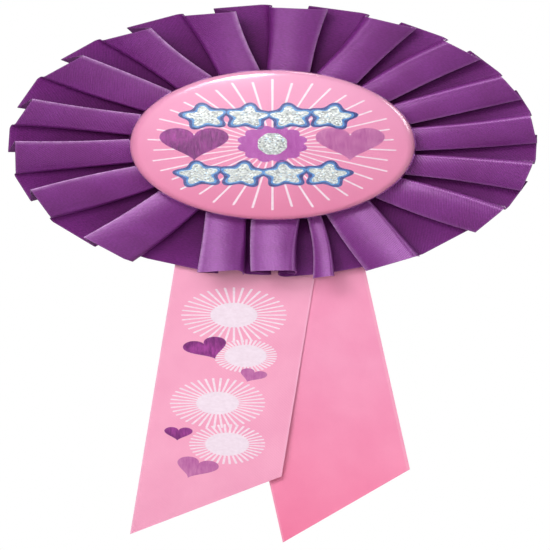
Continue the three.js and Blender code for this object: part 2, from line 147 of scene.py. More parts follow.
# How a hand-pleated ruffle departs from the regular one
RIBBON_THICK = 0.2
RINGS = 34
FOLD_POINTS = 7
STRETCH_POINTS = (3, 10, 3, 5)  # riser, front panel, sharp fold's underside, recess panel
CLOSED_HEIGHT = 1.2  # a sharp fold that stands less far forward than this has come open
CROWNS = (0.0, 0.085, 0.0, -0.04)  # rise of each stretch between folds, over its width
SEED = 11
DEPTH_SCATTER = 0.3
RIM_SCATTER = 0.12
BOW_SCATTER = 0.5  # how far the sides of a front panel bow out of line, half way along
RUMPLE = {"height": 0.16, "size": 7.0}

# How the ruffle's painted shade, painted crease highlight, rubbed creases and polish change over
# it
CREASE_WEAR_AND_HIGHLIGHT = [(0.3, 0.45), (0.7, 1.0)]  # pale rubbing and a painted highlight along a sharp fold
PAINTED_RECESS_SHADE = [(0.0, (1.0, 1.0, 1.0)), (1.0, (0.28, 0.15, 0.23))]  # painted shade, from a front panel to a recess
DEEP_ROUGHNESS = 0.4  # how much less polished it is deep in a recess
RIM_SHADE = 0.15  # how much of both is left at the rim
SHADE_EASING = 1.5  # above 1, both fade mostly near the rim
RECESS_FROM = 0.14  # the depth at which the ribbon counts as lying in a recess
TWILL_TURN = 0.96  # radians between the twill's lines and straight across the ribbon
SELVEDGE = 0.28  # width of the ribbon's woven edge
# The studio's soft light from all round, from below (0) to above (1), where white is 1
FILL_LIGHT = [(0.0, 0.05), (0.5, 0.06), (1.0, 0.35)]

# Tails, with heights from the rosette's middle
TAIL_THICK = 0.24
TAIL_TOP = -6.5
RUFFLE_EDGE = -40  # where the tails come out from behind the ruffle
END_CUT = 41  # degrees between a tail's end and its straight-across line
TAIL_ROWS = 150
TAIL_COLUMNS = 22
# Each tail's plane, width, lean from the vertical, middle at the rosette's middle and lowest point
# are as in the CAD model. Then: how far its free part sways and waves out of its plane, in how
# many half waves, and how far it twists and cups.
LEFT_TAIL = {
    "node": "left_tail", "body": "front_tail", "y": middle_y("left_tail"),
    "width": 22, "lean": -5, "middle": -1, "tip": -115.8,
    "sway": -0.9, "wave": 0.5, "waves": 2.2, "twist": 0.4, "cup": 0.25,
}
RIGHT_TAIL = {
    "node": "right_tail", "body": "rear_tail", "y": middle_y("right_tail"),
    "width": 22.2, "lean": 6.7, "middle": -1.1, "tip": -118.3,
    "sway": 0.5, "wave": 0.45, "waves": 1.7, "twist": -0.45, "cup": -0.2,
}

# Button, as in the CAD model. For each layer: how far its face is inside the button's outside,
# its thickness, and the radius at which its flange ends behind.
BUTTON = {"radius": 22.4, "rim_radius": 2.0, "height": 6.4}
FILM = {"inset": 0.0, "thick": 0.18, "flange": 18.6}
PAPER = {"inset": 0.23, "thick": 0.17, "flange": 19.0}
ROUND_POINTS = 160

# Prints: how far the lowest layer floats off its surface, the thickness of a print, and how far
# each layer is lifted above the one below it
PRINT_LIFT = 0.006
TAIL_PRINT = {"thick": 0.03, "layer": 0.01}
BUTTON_PRINT = {"thick": 0.01, "layer": 0.008}

# Smoothing, in degrees and millimetres
SHARP_FROM = 45  # edges of a piece that turn more than this stay sharp
ROUNDED_FROM = 40  # edges of a CAD node that turn more than this are rounded
ROUNDING = 0.07
NICKEL_ROUNDING = 0.05
WELD_REACH = 0.001

# ---- camera and light

# In metres. The picture shows the object at a little over half its true height.
CAMERA = {"middle": (0.0004, -0.5, -0.0444), "height": 0.1632, "squeeze": 0.525, "reach": 5}
LIGHT_AIM = (0, 0, -0.03)
FLOOR = {"half": 3.0, "below": 0.0005}


def add_to_scene(item):
    bpy.context.scene.collection.objects.link(item)


def make_camera():
    """Level, square-on and without perspective. The picture is squeezed to about half its height,
    so the camera takes in about half the width to match: through a shear, its sideways axis leans
    along the line of sight."""
    middle = Vector(CAMERA["middle"])
    holder = bpy.data.objects.new("camera_holder", None)
    camera = bpy.data.objects.new("camera", bpy.data.cameras.new("camera"))
    add_to_scene(holder)
    add_to_scene(camera)
    camera.data.type = "ORTHO"
    camera.data.ortho_scale = CAMERA["height"]
    camera.data.clip_end = CAMERA["reach"]
    camera.rotation_euler = (math.pi / 2, 0, 0)
    camera.location = middle
    camera.parent = holder
    squeeze = CAMERA["squeeze"]
    side = math.sqrt(1 - squeeze**2)
    shear = Matrix(((squeeze, 0, 0, 0), (side, 1, 0, 0), (0, 0, 1, 0), (0, 0, 0, 1)))
    upright = Matrix.Rotation(math.pi / 2, 4, "X")
    plain = Matrix.Translation(middle) @ upright
    camera.matrix_parent_inverse = Matrix.Translation(middle) @ shear @ upright @ plain.inverted()
    bpy.context.scene.camera = camera


def area_light(name, place, size, power, glossy=True, diffuse=True):
    """A round soft light, in metres and watts. With glossy off it gives no highlights, and with
    diffuse off it gives nothing else."""
    data = bpy.data.lights.new(name, "AREA")
    data.shape = "DISK"
    data.size = size
    data.energy = power
    lamp = bpy.data.objects.new(name, data)
    lamp.location = place
    lamp.rotation_euler = (Vector(LIGHT_AIM) - Vector(place)).to_track_quat("-Z", "Y").to_euler()
    lamp.visible_glossy = glossy
    lamp.visible_diffuse = diffuse
    add_to_scene(lamp)


def make_studio():
    """Soft light on a plain white background, which only the camera sees as white."""
    world = bpy.data.worlds.new("studio")
    world.use_nodes = True
    background = world.node_tree.nodes["Background"]
    direction = add_node(background, "ShaderNodeTexCoord").outputs["Generated"]
    up = axis_of(direction, "Z")
    sky = grey_ramp(maths("MULTIPLY_ADD", up, 0.5, 0.5), FILL_LIGHT)
    seen = add_node(background, "ShaderNodeLightPath").outputs["Is Camera Ray"]
    feed(background, Color=blend_colours(seen, sky, (1, 1, 1)))
    bpy.context.scene.world = world
    area_light("key", (-0.25, -0.62, 0.4), 0.24, 1.4)
    area_light("front", (-0.2, -1.05, 0.42), 1.1, 10.4, glossy=False)
    area_light("sheen", (-0.1, -0.6, 0.42), 0.2, 5.6, diffuse=False)
    area_light("side", (0.6, -0.14, 0.26), 0.3, 2.4, diffuse=False)
    area_light("top", (0.12, -0.06, 0.55), 0.15, 0.4)
    area_light("back", (0.3, 0.5, 0.32), 0.3, 2.0)
    make_floor()


def make_floor():
    floor_z = cad_low.z - FLOOR["below"]
    half = FLOOR["half"]
    corners = [(-half, -half), (half, -half), (half, half), (-half, half)]
    mesh = bpy.data.meshes.new("floor")
    mesh.from_pydata([(x, y, floor_z) for x, y in corners], [], [(0, 1, 2, 3)])
    floor = bpy.data.objects.new("floor", mesh)
    add_to_scene(floor)
    mesh.materials.append(floor_material())


# ---- node helpers


def feed(node, **inputs):
    """Sets a node's inputs, by name with _ for a space, to values or to other nodes' outputs."""
    for name, value in inputs.items():
        give(node.inputs[name.replace("_", " ")], value)


def give(socket, value):
    if isinstance(value, bpy.types.NodeSocket):
        socket.id_data.links.new(value, socket)
    else:
        socket.default_value = value


def add_node(beside, kind, inputs=(), **settings):
    """A new node in the same tree as the node or socket that it is made beside."""
    node = beside.id_data.nodes.new(kind)
    for key, value in settings.items():
        setattr(node, key, value)
    feed(node, **dict(inputs))
    return node


def new_material(name, colour, roughness, **values):
    """A material with one Principled shader. Returns both."""
    material = bpy.data.materials.new(name)
    material.use_nodes = True
    shader = material.node_tree.nodes["Principled BSDF"]
    feed(shader, Base_Color=(*colour, 1), Roughness=roughness, **values)
    return material, shader


def object_place(shader):
    return add_node(shader, "ShaderNodeTexCoord").outputs["Object"]


def axis_of(vector, axis):
    return add_node(vector, "ShaderNodeSeparateXYZ", {"Vector": vector}).outputs[axis]


def scaled(source, scale, turn=0.0):
    """Coordinates stretched by scale along each axis, after a turn about Z."""
    inputs = {"Vector": source, "Rotation": (0, 0, turn)}
    inputs = {"Vector": add_node(source, "ShaderNodeMapping", inputs).outputs[0], "Scale": scale}
    return add_node(source, "ShaderNodeMapping", inputs).outputs[0]


def noise_of(vector, scale, detail=3.0, roughness=0.5):
    inputs = {"Vector": vector, "Scale": scale, "Detail": detail, "Roughness": roughness}
    return add_node(vector, "ShaderNodeTexNoise", inputs).outputs["Fac"]


def waves(vector, period, distortion=0.0):
    """Smooth bands across X, one every period."""
    inputs = {"Vector": vector, "Scale": math.pi / 10 / period, "Distortion": distortion}
    return add_node(vector, "ShaderNodeTexWave", inputs).outputs["Fac"]


def ramp(factor, stops):
    """Colours or shades by factor. Each stop is a place from 0 to 1 and a colour."""
    node = add_node(factor, "ShaderNodeValToRGB", {"Fac": factor})
    elements = node.color_ramp.elements
    while len(elements) < len(stops):
        elements.new(0.5)
    for element, (place, colour) in zip(elements, stops):
        element.position = place
        element.color = (*colour, 1)
    return node.outputs["Color"]


def grey_ramp(factor, stops):
    return ramp(factor, [(place, (shade,) * 3) for place, shade in stops])


def blend_colours(factor, a, b, mode="MIX"):
    """Colour a, from another node, mixed with b, which is one too or a plain colour."""
    node = add_node(a, "ShaderNodeMix", data_type="RGBA", blend_type=mode)
    sockets = {socket.name: socket for socket in node.inputs if socket.enabled}
    give(sockets["Factor"], factor)
    give(sockets["A"], a)
    give(sockets["B"], (*b, 1) if isinstance(b, tuple) else b)
    return next(socket for socket in node.outputs if socket.enabled)


def maths(operation, a, b=0.0, c=0.0):
    """One operation on a, from another node, and on numbers or other nodes' outputs."""
    node = add_node(a, "ShaderNodeMath", operation=operation)
    for socket, value in zip(node.inputs, (a, b, c)):
        give(socket, value)
    return node.outputs[0]


def times(a, b):
    return maths("MULTIPLY", a, b)


def tinted(a, b):
    return blend_colours(1.0, a, b, "MULTIPLY")


def bump(shader, height, distance, strength=1.0):
    inputs = {"Height": height, "Distance": distance * MM, "Strength": strength}
    feed(shader, Normal=add_node(shader, "ShaderNodeBump", inputs).outputs[0])


# ---- materials
# Scales of noise are per metre, or per millimetre on a ribbon's UVs.


def floor_material():
    """Plain pale paper."""
    material, shader = new_material("floor_paper", (0.68, 0.68, 0.69), 0.9)
    grain = noise_of(object_place(shader), 300.0)
    feed(shader, Base_Color=grey_ramp(grain, [(0, 0.66), (1, 0.7)]))
    return material


def woven_colour(uv, shade, weave, lines, threads):
    """A ribbon's colour with its twill lines and threads. With deepens, it deepens lengthways."""
    twill = maths("MULTIPLY_ADD", lines, weave["contrast"], 1 - weave["contrast"] / 2)
    speck = maths("MULTIPLY_ADD", threads, weave["specks"], 1 - weave["specks"] / 2)
    woven = tinted(shade, times(twill, speck))
    if "deepens" not in weave:
        return woven
    share = times(axis_of(uv, "X"), 1 / weave["length"])
    return tinted(woven, ramp(share, weave["deepens"]))


def selvedge_share(uv, width):
    """Where the ribbon's woven edge shows, unevenly."""
    from_middle = maths("ABSOLUTE", maths("SUBTRACT", axis_of(uv, "Y"), width / 2))
    at_edge = maths("GREATER_THAN", from_middle, width / 2 - SELVEDGE)
    return times(at_edge, noise_of(uv, 2.2, 2.0))


def mark_of(shader, name):
    return add_node(shader, "ShaderNodeAttribute", attribute_name=name).outputs["Fac"]


def satin(name, dark, light, weave, edge, crease_and_sheen_tint, **shine):
    """Woven satin on UVs in millimetres: X along the ribbon and Y across it, from 0 to its width.
    It has a twill line, single threads, slow random changes of tone, a selvedge, pale creases that
    are partly rubbed and partly a painted highlight, and painted shade deep in the folds. Its
    threads lie along the ribbon, so its highlights are drawn out across it."""
    shine |= {"Anisotropic": 0.4, "Anisotropic_Rotation": 0.25, "Sheen_Tint": (*crease_and_sheen_tint, 1)}
    material, shader = new_material(name, light, 0.5, **shine)
    uv = add_node(shader, "ShaderNodeUVMap", uv_map="ribbon_mm").outputs[0]
    slow = noise_of(scaled(uv, (0.09, 0.16, 1)), 1.0, 4.0)
    lines = waves(scaled(uv, (1, 1, 1), TWILL_TURN), weave["period"], 0.8)
    threads = noise_of(scaled(uv, (1.6, 4.0, 1)), 1.0, 2.0, 0.7)
    shade = ramp(slow, [(0.3, dark), (0.7, light)])
    woven = woven_colour(uv, shade, weave, lines, threads)
    edged = blend_colours(selvedge_share(uv, weave["width"]), woven, edge)
    # Painted shade: the colour is darkened deep in the folds, fading towards the rim
    depth = mark_of(shader, "depth")
    shaded = tinted(edged, ramp(depth, PAINTED_RECESS_SHADE))
    # Painted highlight along the closed sharp folds, partly pale rubbing: the colour is lightened
    # towards the crease tint
    rubbed = grey_ramp(noise_of(uv, 0.8, 3.0), CREASE_WEAR_AND_HIGHLIGHT)
    crease_wear_and_highlight = times(mark_of(shader, "crease"), rubbed)
    colour = blend_colours(crease_wear_and_highlight, shaded, crease_and_sheen_tint)
    gloss = grey_ramp(threads, [(0, 0.42), (1, 0.56)])
    dulled = maths("MULTIPLY_ADD", depth, DEEP_ROUGHNESS, gloss)
    tangent = add_node(shader, "ShaderNodeTangent", direction_type="UV_MAP", uv_map="ribbon_mm")
    feed(shader, Base_Color=colour, Roughness=dulled, Tangent=tangent.outputs[0])
    bump(shader, maths("MULTIPLY_ADD", lines, 0.4, threads), weave["bump"])
    return material


def paper_material():
    """The button's print: pink on smooth paper, a little deeper towards the bottom as painted
    shade.
    """
    material, shader = new_material("button_print_pink", (0.8, 0.3, 0.5), 0.7)
    place = object_place(shader)
    span = 2 * BUTTON["radius"] * MM
    share = maths("MULTIPLY_ADD", axis_of(place, "Z"), 1 / span, 0.5 - BUTTON_Z * MM / span)
    # Painted shade: lighter at the top, where light from above falls, and deeper towards the
    # bottom
    stops = [(0.0, (0.70, 0.17, 0.33)), (0.45, (0.76, 0.24, 0.42)), (1.0, (0.77, 0.30, 0.49))]
    tint = ramp(share, stops)
    grain = grey_ramp(noise_of(place, 2600.0), [(0.2, 0.95), (0.8, 1.0)])
    feed(shader, Base_Color=tinted(tint, grain))
    bump(shader, noise_of(place, 4000.0), 0.004)
    return material


def film_material():
    """Clear glossy film with a faint uneven haze."""
    clear = {"IOR": 1.33, "Transmission_Weight": 1.0}
    material, shader = new_material("button_film", (1, 1, 1), 0.09, **clear)
    haze = noise_of(object_place(shader), 900.0)
    feed(shader, Roughness=grey_ramp(haze, [(0, 0.12), (1, 0.16)]))
    return material


def foil_material(name, dark, light):
    """Stamped foil: fine streaks, and slow drifts from its dark shade to its light one."""
    material, shader = new_material(name, light, 0.32, Metallic=0.2)
    place = object_place(shader)
    streaks = noise_of(scaled(place, (2500, 2500, 420)), 1.0, 4.0, 0.65)
    fine = times(streaks, 0.55)
    broad = times(noise_of(place, 220.0, 2.0), 0.45)
    tint = ramp(maths("ADD", fine, broad), [(0.35, dark), (0.65, light)])
    gloss = grey_ramp(streaks, [(0, 0.2), (1, 0.5)])
    feed(shader, Base_Color=tint, Roughness=gloss)
    bump(shader, streaks, 0.02, 0.6)
    return material


def glitter_material():
    """Silver glitter: small flakes, each with its own shade and its own tilt."""
    silver = (0.6, 0.62, 0.64)
    material, shader = new_material("glitter_silver", silver, 0.3, Metallic=0.3)
    place = object_place(shader)
    flakes = add_node(shader, "ShaderNodeTexVoronoi", {"Vector": place, "Scale": 3600.0})
    shade = add_node(shader, "ShaderNodeSeparateColor", {"Color": flakes.outputs["Color"]})
    stops = [
        (0.0, (0.30, 0.33, 0.36)), (0.3, (0.52, 0.54, 0.52)), (0.55, (0.62, 0.66, 0.68)),
        (0.8, (0.70, 0.74, 0.66)), (0.93, (0.95, 0.97, 0.98)), (1.0, (0.40, 0.62, 0.80)),
    ]
    tint = ramp(shade.outputs[0], stops)
    feed(shader, Base_Color=tint, Roughness=times(shade.outputs[1], 0.6))
    bump(shader, shade.outputs[2], 0.02, 0.7)
    return material


def ink_material(name, dark, light, roughness):
    """Printed ink with a slightly uneven coat."""
    material, shader = new_material(name, light, roughness)
    cover = noise_of(object_place(shader), 1500.0)
    feed(shader, Base_Color=ramp(cover, [(0.3, dark), (0.7, light)]))
    bump(shader, cover, 0.01, 0.5)
    return material


def metal_material(name, dark, light, rough, streak):
    """Plated or bare metal with fine drawn lines, faint stains and duller rubbed places."""
    material, shader = new_material(name, light, rough, Metallic=1.0)
    place = object_place(shader)
    stain = noise_of(place, 260.0, 4.0)
    lines = noise_of(scaled(place, streak), 1.0, 4.0, 0.6)
    tint = ramp(stain, [(0.3, dark), (0.7, light)])
    polish = grey_ramp(lines, [(0.2, rough * 0.75), (0.8, rough * 1.5)])
    feed(shader, Base_Color=tint, Roughness=polish)
    bump(shader, lines, 0.01, 0.5)
    return material


def card_material(name, dark, light, fibre):
    """Card with short fibres, faint clouding and a soft surface."""
    material, shader = new_material(name, light, 0.85, Specular_IOR_Level=0.25)
    place = object_place(shader)
    clouds = noise_of(place, 160.0, 5.0, 0.6)
    fibres = noise_of(scaled(place, (fibre, fibre, fibre * 3.5)), 1.0, 4.0, 0.7)
    share = times(maths("ADD", clouds, fibres), 0.5)
    feed(shader, Base_Color=ramp(share, [(0.35, dark), (0.65, light)]))
    bump(shader, fibres, 0.03, 0.6)
    return material


def foam_material():
    """White foam with small open cells, painted darker at each cell's middle as shade in its
    hollow.
    """
    material, shader = new_material("foam_white", (0.82, 0.82, 0.79), 0.9)
    place = object_place(shader)
    cells = add_node(shader, "ShaderNodeTexVoronoi", {"Vector": place, "Scale": 2600.0})
    reach = cells.outputs["Distance"]
    # Painted shade in the hollows: darker at the middle of each cell
    stops = [(0.0, (0.62, 0.62, 0.58)), (0.35, (0.84, 0.84, 0.81))]
    feed(shader, Base_Color=ramp(reach, stops))
    bump(shader, reach, 0.12, 0.8)
    return material


# ---- mesh helpers


def make_piece(name, points, faces, material, uvs=None, thick=0.0, outwards=-1.0, marks=None):
    """A mesh from points in millimetres. UVs are one pair for each corner of each face, and marks
    hold named lists of one number for each point. A sheet gets its thickness here, on its front,
    on both sides or behind for outwards 1, 0 or -1."""
    mesh = bpy.data.meshes.new(name)
    mesh.from_pydata((np.asarray(points) * MM).tolist(), [], faces)
    for mark, values in (marks or {}).items():
        attribute = mesh.attributes.new(mark, "FLOAT", "POINT")
        attribute.data.foreach_set("value", np.asarray(values, np.float32))
    if uvs is not None:
        layer = mesh.uv_layers.new(name="ribbon_mm")
        layer.data.foreach_set("uv", np.asarray(uvs, np.float32).ravel())
    mesh.materials.append(material)
    piece = bpy.data.objects.new(name, mesh)
    add_to_scene(piece)
    if thick:
        solidify = piece.modifiers.new("thickness", "SOLIDIFY")
        solidify.thickness = thick * MM
        solidify.offset = outwards
        make_final(piece)
    smooth(piece.data)
    return piece


def make_final(piece):
    """Applies the piece's modifiers."""
    graph = bpy.context.evaluated_depsgraph_get()
    final = bpy.data.meshes.new_from_object(piece.evaluated_get(graph))
    piece.modifiers.clear()
    piece.data = final


def smooth(mesh):
    mesh.polygons.foreach_set("use_smooth", [True] * len(mesh.polygons))
    mesh.set_sharp_from_angle(angle=SHARP_FROM * DEGREE)


def grid_faces(rows, columns, closed=False):
    """Quads over a grid of points in rows. With closed, each row runs round in a ring."""
    faces = []
    for row in range(rows - 1):
        for column in range(columns if closed else columns - 1):
            a = row * columns + column
            b = row * columns + (column + 1) % columns
            faces.append((a, b, b + columns, a + columns))
    return faces


def mix(low, high, share):
    return low + (high - low) * share


# ---- ruffle


def panel_edges(i, radius, bow):
    """Both edges of a front panel at one radius, in mm round the ring."""
    foot_start, rim_start, rim_end = PLEATS[i][:3]
    foot_end = PLEATS[i + 1][0] if i + 1 < len(PLEATS) else PLEATS[0][0] + 360
    out = (radius - FOOT_RADIUS) / (RIM_RADIUS - FOOT_RADIUS)
    share = max(0.0, out * RIM_RADIUS / radius)
    start = mix(foot_start + FOOT_GAP, rim_start, share)
    end = mix(foot_end - FOOT_GAP, rim_end, share)
    bowed = bow * math.sin(math.pi * min(1.0, max(0.0, out)))
    return start * DEGREE * radius + bowed[0], end * DEGREE * radius + bowed[1]


def fold_arc(before, corner, after, fold_radius):
    """Points round a fold at a corner of the ribbon's path."""
    back = before - corner
    on = after - corner
    room = FOLD_ROOM * min(np.linalg.norm(back), np.linalg.norm(on))
    back /= np.linalg.norm(back)
    on /= np.linalg.norm(on)
    half = math.acos(np.clip(back @ on, -1, 1)) / 2
    radius = min(fold_radius, room * math.tan(half))
    inward = (back + on) / np.linalg.norm(back + on)
    centre = corner + inward * radius / math.sin(half)
    turn = math.pi - 2 * half
    bend = np.sign(back[0] * on[1] - back[1] * on[0])
    middle = math.atan2(-inward[1], -inward[0])
    angles = middle - bend * turn * np.linspace(-0.5, 0.5, FOLD_POINTS)
    return centre + radius * np.stack([np.cos(angles), np.sin(angles)], 1)


def ring_corners(radius, share, scatter):
    """The path's corners round one ring as (mm round the ring, mm forwards), and fold radii."""
    corners, radii = [], []
    for i, pleat in enumerate(PLEATS):
        soft_height, sharp_height, tuck = pleat[3:6]
        start, end = panel_edges(i, radius, scatter["bow"][i])
        eased = share ** DEPTH["easing"]
        lift = share * scatter["depth"][i]
        closed = mix(1.0, min(1.0, sharp_height / CLOSED_HEIGHT), share)
        soft_under = mix(min(SOFT_FOLD["under"], SOFT_FOLD["share"] * (end - start)), tuck, share)
        sharp_under = min(SHARP_FOLD["under"], SHARP_FOLD["share"] * (end - start)) * closed
        corners += [
            (start + soft_under, 0.0),
            (start, mix(DEPTH["inner"], soft_height, eased) + lift),
            (end, mix(DEPTH["inner"], sharp_height, eased) + lift),
            (end - sharp_under, 0.0),
        ]
        soft_opening = SOFT_FOLD["open"] * (DEPTH["rim"] - soft_height)
        sharp_opening = SHARP_FOLD["open"] * max(0.0, CLOSED_HEIGHT - sharp_height)
        soft = mix(SOFT_FOLD["inner"], SOFT_FOLD["rim"] + soft_opening, share)
        soft = min(soft, SOFT_FOLD["most"] * (end - start))
        sharp = mix(SHARP_FOLD["inner"], SHARP_FOLD["rim"] + sharp_opening, share)
        radii += [soft, soft, sharp, sharp]
    return np.array(corners), radii


def to_space(path, radius, drawn_in, rim_shift):
    """Points of a ring's path, with mm forwards as y, in the rosette's own x, y and z. The rim is
    drawn in where it stands forward, and shifted all along."""
    angle = path[:, 0] / radius
    out = radius - drawn_in * path[:, 1] / DEPTH["rim"] + rim_shift
    return np.stack([out * np.sin(angle), RECESS_Y - path[:, 1], out * np.cos(angle)], 1)


def rim_shift_at(corner, scatter):
    """How far out the rim is moved at a corner: by its pleat's own scatter, and back in where the
    recess beside it is drawn in."""
    pleat, place = divmod(corner, CORNERS)
    recess = {0: pleat - 1, 3: pleat}.get(place)
    return scatter["rim"][pleat] - RECESS_DRAWN_IN.get(recess, 0.0)


def stretch_points(start, end, place):
    """Points from one fold to the next, straight across but for a low crown on the panels."""
    count = STRETCH_POINTS[place]
    crown = CROWNS[place] * np.linalg.norm(end - start)
    points = []
    for k in range(1, count + 1):
        t = k / (count + 1)
        point = mix(start, end, t)
        point[1] -= crown * 4 * t * (1 - t)
        points.append(point)
    return points


def ring_points(radius, scatter):
    """The ribbon's points round one ring, fold by fold and stretch by stretch."""
    share = (radius - INNER_RADIUS) / (RIM_RADIUS - INNER_RADIUS)
    corners, radii = ring_corners(radius, share, scatter)
    whole = np.array([2 * math.pi * radius, 0])
    path = np.vstack([corners[-1] - whole, corners, corners[0] + whole])
    arcs = []
    for i in range(len(corners)):
        arc = fold_arc(path[i], path[i + 1], path[i + 2], radii[i])
        pleat, place = divmod(i, CORNERS)
        drawn_in = PLEATS[pleat][SOFT_DRAWN_IN if place < 2 else SHARP_DRAWN_IN] * share
        arcs.append(to_space(arc, radius, drawn_in, rim_shift_at(i, scatter) * share))
    points = []
    for i, arc in enumerate(arcs):
        points += list(arc)
        points += stretch_points(arc[-1], arcs[(i + 1) % len(arcs)][0], i % CORNERS)
    return np.array(points)


def rumple(points, share):
    """Small soft dents in the fabric, which fade towards the stapled middle."""
    for point in points:
        wave = noise.noise(Vector(point / RUMPLE["size"]))
        point[1] += RUMPLE["height"] * share * wave
    return points


def ruffle_uvs(rings, shares):
    """Millimetres along the ribbon from each panel's middle, and across it, for each corner."""
    count = len(rings[0])
    per_pleat = count // len(PLEATS)
    middle = FOLD_POINTS * 2 + STRETCH_POINTS[0] + STRETCH_POINTS[1] // 2
    along = np.zeros((len(rings), len(PLEATS), per_pleat + 1))
    for row, ring in enumerate(rings):
        closed = np.vstack([ring, ring[:1]])
        steps = np.linalg.norm(np.diff(closed, axis=0), axis=1)
        travelled = np.concatenate([[0], np.cumsum(steps)])
        for i in range(len(PLEATS)):
            part = travelled[i * per_pleat:(i + 1) * per_pleat + 1]
            along[row, i] = part - part[middle] + i * RIBBON_WIDTH
    uvs = []
    for row in range(len(rings) - 1):
        for column in range(count):
            i, k = divmod(column, per_pleat)
            low, high = shares[row] * RIBBON_WIDTH, shares[row + 1] * RIBBON_WIDTH
            uvs += [
                (along[row, i, k], low), (along[row, i, k + 1], low),
                (along[row + 1, i, k + 1], high), (along[row + 1, i, k], high),
            ]
    return uvs


def ring_depths():
    """How deep in the folds each point of a ring is: 0 on a front panel, and 1 in a recess."""
    riser = np.linspace(1, 0, STRETCH_POINTS[0] + 2)[1:-1]
    front = np.zeros(2 * FOLD_POINTS + STRETCH_POINTS[1])
    behind = np.ones(FOLD_POINTS + STRETCH_POINTS[2] + STRETCH_POINTS[3])
    return np.tile(np.concatenate([np.ones(FOLD_POINTS), riser, front, behind]), len(PLEATS))


def ring_creases():
    """How creased the ribbon is at each point of a ring: only at its closed sharp front folds."""
    before = 2 * FOLD_POINTS + STRETCH_POINTS[0] + STRETCH_POINTS[1]
    after = FOLD_POINTS + STRETCH_POINTS[2] + STRETCH_POINTS[3]
    across_fold = np.sin(np.linspace(0, math.pi, FOLD_POINTS + 2))[1:-1]
    one = np.concatenate([np.zeros(before), across_fold, np.zeros(after)])
    return np.concatenate([one * min(1.0, pleat[SHARP_HEIGHT] / DEPTH["rim"]) for pleat in PLEATS])


def dull_recesses(ruffle, material):
    """Gives the front of the ribbon its duller finish where it lies deep between the pleats."""
    mesh = ruffle.data
    mesh.materials.append(material)
    depths = mesh.attributes["depth"].data
    for face in mesh.polygons:
        if face.normal.y < 0 and depths[face.vertices[0]].value > RECESS_FROM:
            face.material_index = 1


def ruffle_scatter():
    """How each pleat differs from its row in PLEATS, in millimetres."""
    random = np.random.default_rng(SEED)
    return {
        "depth": random.uniform(-DEPTH_SCATTER, DEPTH_SCATTER, len(PLEATS)),
        "rim": random.uniform(-RIM_SCATTER, RIM_SCATTER, len(PLEATS)),
        "bow": random.uniform(-BOW_SCATTER, BOW_SCATTER, (len(PLEATS), 2)),
    }


def make_ruffle(material, recess_material):
    scatter = ruffle_scatter()
    shares = np.linspace(0, 1, RINGS)
    rings = []
    for share in shares:
        radius = mix(INNER_RADIUS, RIM_RADIUS, share)
        rings.append(rumple(ring_points(radius, scatter), share))
    points = np.vstack(rings) + (0, 0, ROSETTE_Z)
    faces = grid_faces(RINGS, len(rings[0]), closed=True)
    uvs = ruffle_uvs(rings, shares)
    marks = {
        "crease": np.tile(ring_creases(), RINGS),
        "depth": np.outer(mix(1.0, RIM_SHADE, shares**SHADE_EASING), ring_depths()).ravel(),
    }
    ruffle = make_piece("ruffle", points, faces, material, uvs, RIBBON_THICK, 0.0, marks)
    dull_recesses(ruffle, recess_material)
    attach(ruffle, "rosette")
    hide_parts("pleated_ruffle")


# ---- tails


def tail_y(tail, x, z):
    """How far back a tail's middle surface is at a place in the rosette's plane. It hangs flat
    behind the ruffle, then leaves its plane in a long slack curve with a faint cup across."""
    free = np.clip((RUFFLE_EDGE - z) / (RUFFLE_EDGE - tail["tip"]), 0, 1)
    lean = tail["lean"] * DEGREE
    across = (x - tail["middle"] + z * math.tan(lean)) * math.cos(lean) / (tail["width"] / 2)
    ease = free * free * (3 - 2 * free)
    sway = tail["sway"] * ease
    wave = tail["wave"] * np.sin(free * math.pi * tail["waves"]) * free
    twist = tail["twist"] * across * ease
    cup = tail["cup"] * across**2 * ease
    return tail["y"] + sway + wave + twist + cup


def tail_grid(tail):
    """Points of a tail's middle surface, row by row, and each one's place on the ribbon."""
    lean = tail["lean"] * DEGREE
    half = tail["width"] / 2
    slope = math.tan(END_CUT * DEGREE + lean)
    reach = 2 * half / math.cos(lean)
    right_end = tail["tip"] + slope * reach / (1 + slope * math.tan(lean))
    points, places = [], []
    for row in range(TAIL_ROWS + 1):
        for column in range(TAIL_COLUMNS + 1):
            share = column / TAIL_COLUMNS
            low = mix(tail["tip"], right_end, share)
            z = mix(TAIL_TOP, low, row / TAIL_ROWS)
            x = tail["middle"] - z * math.tan(lean) + mix(-half, half, share) / math.cos(lean)
            points.append((x, tail_y(tail, x, z), z + ROSETTE_Z))
            places.append((-z / math.cos(lean), share * tail["width"]))
    return points, places


def make_tail(name, tail, material):
    points, places = tail_grid(tail)
    faces = grid_faces(TAIL_ROWS + 1, TAIL_COLUMNS + 1)
    uvs = [places[corner] for face in faces for corner in face]
    piece = make_piece(name, points, faces, material, uvs, TAIL_THICK, 0.0)
    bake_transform(piece)
    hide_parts(f"{tail['node']}_top", tail["node"])


# ---- printed shapes


def filled(outline, rings=5):
    """A star-shaped outline, clockwise, filled by rings of quads round a fan, in x and z."""
    outline = np.asarray(outline, float)
    middle = outline.mean(0)
    count = len(outline)
    points = [mix(middle, outline, k / rings) for k in range(1, rings + 1)]
    faces = grid_faces(rings, count, closed=True)
    flat = np.vstack([*points, middle])
    last = len(flat) - 1
    faces += [(last, (k + 1) % count, k) for k in range(count)]
    return flat, faces


def turned(points, degrees, place, size):
    """Points turned clockwise about their origin, scaled and moved."""
    angle = degrees * DEGREE
    cosine, sine = math.cos(angle), math.sin(angle)
    x = points[:, 0] * cosine + points[:, 1] * sine
    z = -points[:, 0] * sine + points[:, 1] * cosine
    return np.stack([x, z], 1) * size + place


def round_points(radius, angles):
    """Points at a radius, which may change with the angle clockwise from the top."""
    return np.stack([radius * np.sin(angles), radius * np.cos(angles)], 1)


